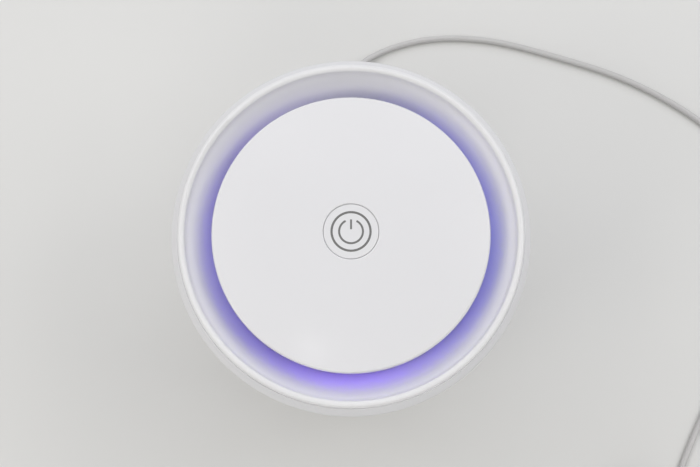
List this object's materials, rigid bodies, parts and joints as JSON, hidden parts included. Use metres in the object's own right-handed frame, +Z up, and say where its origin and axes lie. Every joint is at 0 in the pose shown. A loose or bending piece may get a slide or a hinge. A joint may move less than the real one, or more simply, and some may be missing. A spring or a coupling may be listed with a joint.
{
  "type": "air purifier",
  "caption": "Round white desktop air purifier: slotted base, tapered body, bowl-shaped lit outlet, floating top disc with push button, USB power cord.",
  "frame": {"origin": "on the table under the centre of the housing", "axes": "+Z up along the housing's axis, +Y towards the back, where the cord leaves, -Y the front"},
  "size_m": [0.3455, 0.3333, 0.177],
  "materials": {
    "white_abs": "satin moulded ABS",
    "button_abs": "satin moulded ABS",
    "symbol_ink": "pad-printed dark grey ink on the button",
    "milky_pc": "frosted translucent polycarbonate",
    "inner_plastic": "plain moulded",
    "screw_steel": "zinc plated",
    "bearing_steel": "ground",
    "lamination_steel": "pressed",
    "mount_aluminium": "die cast",
    "ferrite": "bonded magnet",
    "copper_wire": "enamelled winding",
    "circuit_board": "coated laminate",
    "led_resin": "clear resin",
    "black_epoxy": "moulded",
    "wire_pvc": "soft sleeve",
    "cord_pvc": "matte flexible sleeve",
    "tie_plastic": "soft band",
    "nickel_plate": "bright plated",
    "grey_rubber": "matte",
    "filter_plastic": "plain moulded",
    "prefilter_mesh": "open mesh",
    "carbon_felt": "coated felt",
    "filter_paper": "pleated fibre sheet",
    "seal_foam": "open foam",
    "tab_ribbon": "woven ribbon"
  },
  "bodies": {
    "housing": {"outlet_bowl": "white_abs", "body_shell": "white_abs", "intake_shell": "white_abs", "mid_plate": "inner_plastic", "inlet_guard": "inner_plastic", "shell_screws": "screw_steel", "top_disc": "white_abs", "light_diffuser": "milky_pc", "lamp_tray": "inner_plastic", "disc_screws": "screw_steel", "tray_screws": "screw_steel", "led_board": "circuit_board", "lamp_leds": "led_resin", "control_board": "circuit_board", "board_parts": "black_epoxy", "board_screws": "screw_steel", "tact_switch": "black_epoxy", "fan_duct": "inner_plastic", "duct_screws": "screw_steel", "vane_ring": "inner_plastic", "lower_bearing": "bearing_steel", "upper_bearing": "bearing_steel", "motor_mount": "mount_aluminium", "motor_dampers": "grey_rubber", "motor_screws": "screw_steel", "stator_core": "lamination_steel", "stator_coils": "copper_wire", "motor_board": "circuit_board", "motor_lead": "wire_pvc", "filter_bottom_cap": "filter_plastic", "filter_top_cap": "filter_plastic", "filter_prefilter": "prefilter_mesh", "filter_carbon": "carbon_felt", "filter_pleats": "filter_paper", "filter_seal": "seal_foam", "filter_tab": "tab_ribbon", "dc_socket": "black_epoxy", "power_harness": "wire_pvc", "plug_barrel": "nickel_plate", "dc_plug": "cord_pvc", "power_cord": "cord_pvc", "cord_coil": "cord_pvc", "cord_tie": "tie_plastic", "usb_plug_body": "cord_pvc", "usb_plug_shell": "nickel_plate", "usb_plug_tongue": "black_epoxy"},
    "button": {"power_button": "button_abs", "switch_plunger": "black_epoxy"},
    "fan_rotor": {"impeller": "inner_plastic", "rotor_cup": "lamination_steel", "rotor_magnets": "ferrite", "motor_shaft": "bearing_steel"},
    "base": {"base_cover": "white_abs", "foot_pads": "grey_rubber"}
  },
  "joints": [
    {"name": "button_press", "type": "slide", "parent": "housing", "child": "button", "axis": [0, 0, -1], "range_m": [0, 0.0008], "stiffness_N_per_m": 1500, "springref_m": -0.0003},
    {"name": "fan_spin", "type": "hinge", "parent": "housing", "child": "fan_rotor", "pos_m": [0, 0, 0.117], "axis": [0, 0, 1], "continuous": true},
    {"name": "base_twist", "type": "hinge", "parent": "housing", "child": "base", "pos_m": [0, 0, 0.008], "axis": [0, 0, -1], "range_deg": [0, 18]}
  ]
}
